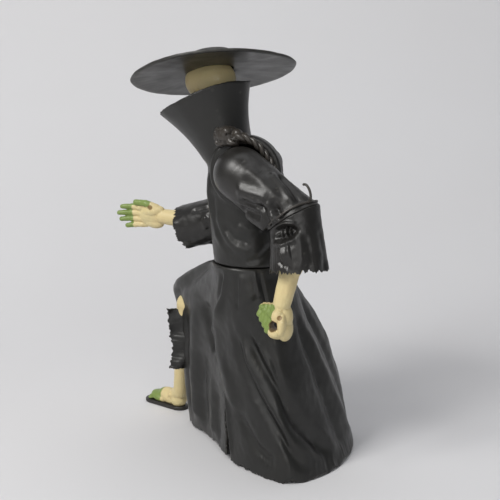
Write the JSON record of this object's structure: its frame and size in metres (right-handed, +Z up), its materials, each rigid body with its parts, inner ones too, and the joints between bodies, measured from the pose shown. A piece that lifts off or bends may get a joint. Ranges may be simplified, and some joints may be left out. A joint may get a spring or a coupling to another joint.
{
  "type": "articulated witch figure",
  "caption": "Small jointed figure in a wide flat hat and long tattered coat that stands in a striding pose, with turning head, waist and arms.",
  "frame": {"origin": "on the floor under the middle of the whole figure", "axes": "+Z up, the hips face -Y, the figure's own left is +X"},
  "size_m": [0.0662, 0.097, 0.1274],
  "materials": {
    "coat": "satin moulded soft vinyl, near black",
    "hat": "satin, near black",
    "skin": "pale cream plastic with sprayed green and brown tints",
    "sandal": "matt dark paint",
    "trim": "satin dark grey",
    "pin": "smooth hard plastic",
    "core": "plain hard plastic"
  },
  "bodies": {
    "coat": {"coat_skirt": "coat", "waistband": "coat", "pelvis_block": "core", "hip_bar": "pin"},
    "torso": {"coat_torso": "coat", "chest_core": "core", "waist_pin": "pin", "neck_peg": "pin", "coat_collar": "coat", "left_shoulder_pin": "pin", "right_shoulder_pin": "pin", "shoulder_clasp": "trim", "shoulder_cord": "trim"},
    "head": {"head": "skin", "hat": "hat"},
    "left_upper_arm": {"left_upper_sleeve": "coat", "left_elbow_pin": "pin", "left_elbow_tie": "trim"},
    "left_lower_arm": {"left_lower_sleeve": "coat", "left_forearm": "skin"},
    "right_upper_arm": {"right_upper_sleeve": "coat", "right_elbow_pin": "pin"},
    "right_lower_arm": {"right_lower_sleeve": "coat", "right_forearm": "skin"},
    "left_leg": {"left_leg": "skin", "left_sandal": "sandal"},
    "right_leg": {"right_leg": "skin", "right_sandal": "sandal"}
  },
  "joints": [
    {"name": "waist_turn", "type": "hinge", "parent": "coat", "child": "torso", "pos_m": [0.0064, 0.0135, 0.0627], "axis": [0, 0, 1], "range_deg": [-25, 25]},
    {"name": "neck_turn", "type": "hinge", "parent": "torso", "child": "head", "pos_m": [0.00816, 0.00137, 0.1194], "axis": [-0.1535, -0.2359, 0.9596], "range_deg": [-60, 60]},
    {"name": "left_shoulder_swing", "type": "hinge", "parent": "torso", "child": "left_upper_arm", "pos_m": [0.02049, 0.02012, 0.091], "axis": [0.9397, 0.342, 0], "range_deg": [-100, 20]},
    {"name": "left_elbow_turn", "type": "hinge", "parent": "left_upper_arm", "child": "left_lower_arm", "pos_m": [0.01912, 0.03767, 0.07956], "axis": [-0.0185, -0.55, 0.835], "range_deg": [-20, 60]},
    {"name": "right_shoulder_swing", "type": "hinge", "parent": "torso", "child": "right_upper_arm", "pos_m": [-0.00864, 0.00951, 0.091], "axis": [0.9397, 0.342, 0], "range_deg": [-45, 6]},
    {"name": "right_elbow_turn", "type": "hinge", "parent": "right_upper_arm", "child": "right_lower_arm", "pos_m": [-0.00948, -0.002, 0.07346], "axis": [-0.0705, 0.8056, 0.5883], "range_deg": [-60, 20]},
    {"name": "left_hip_swing", "type": "hinge", "parent": "coat", "child": "left_leg", "pos_m": [0.0124, 0.0135, 0.05], "axis": [1, 0, 0], "range_deg": [0, 8]},
    {"name": "right_hip_swing", "type": "hinge", "parent": "coat", "child": "right_leg", "pos_m": [0.0004, 0.0135, 0.05], "axis": [1, 0, 0], "range_deg": [0, 8]}
  ]
}
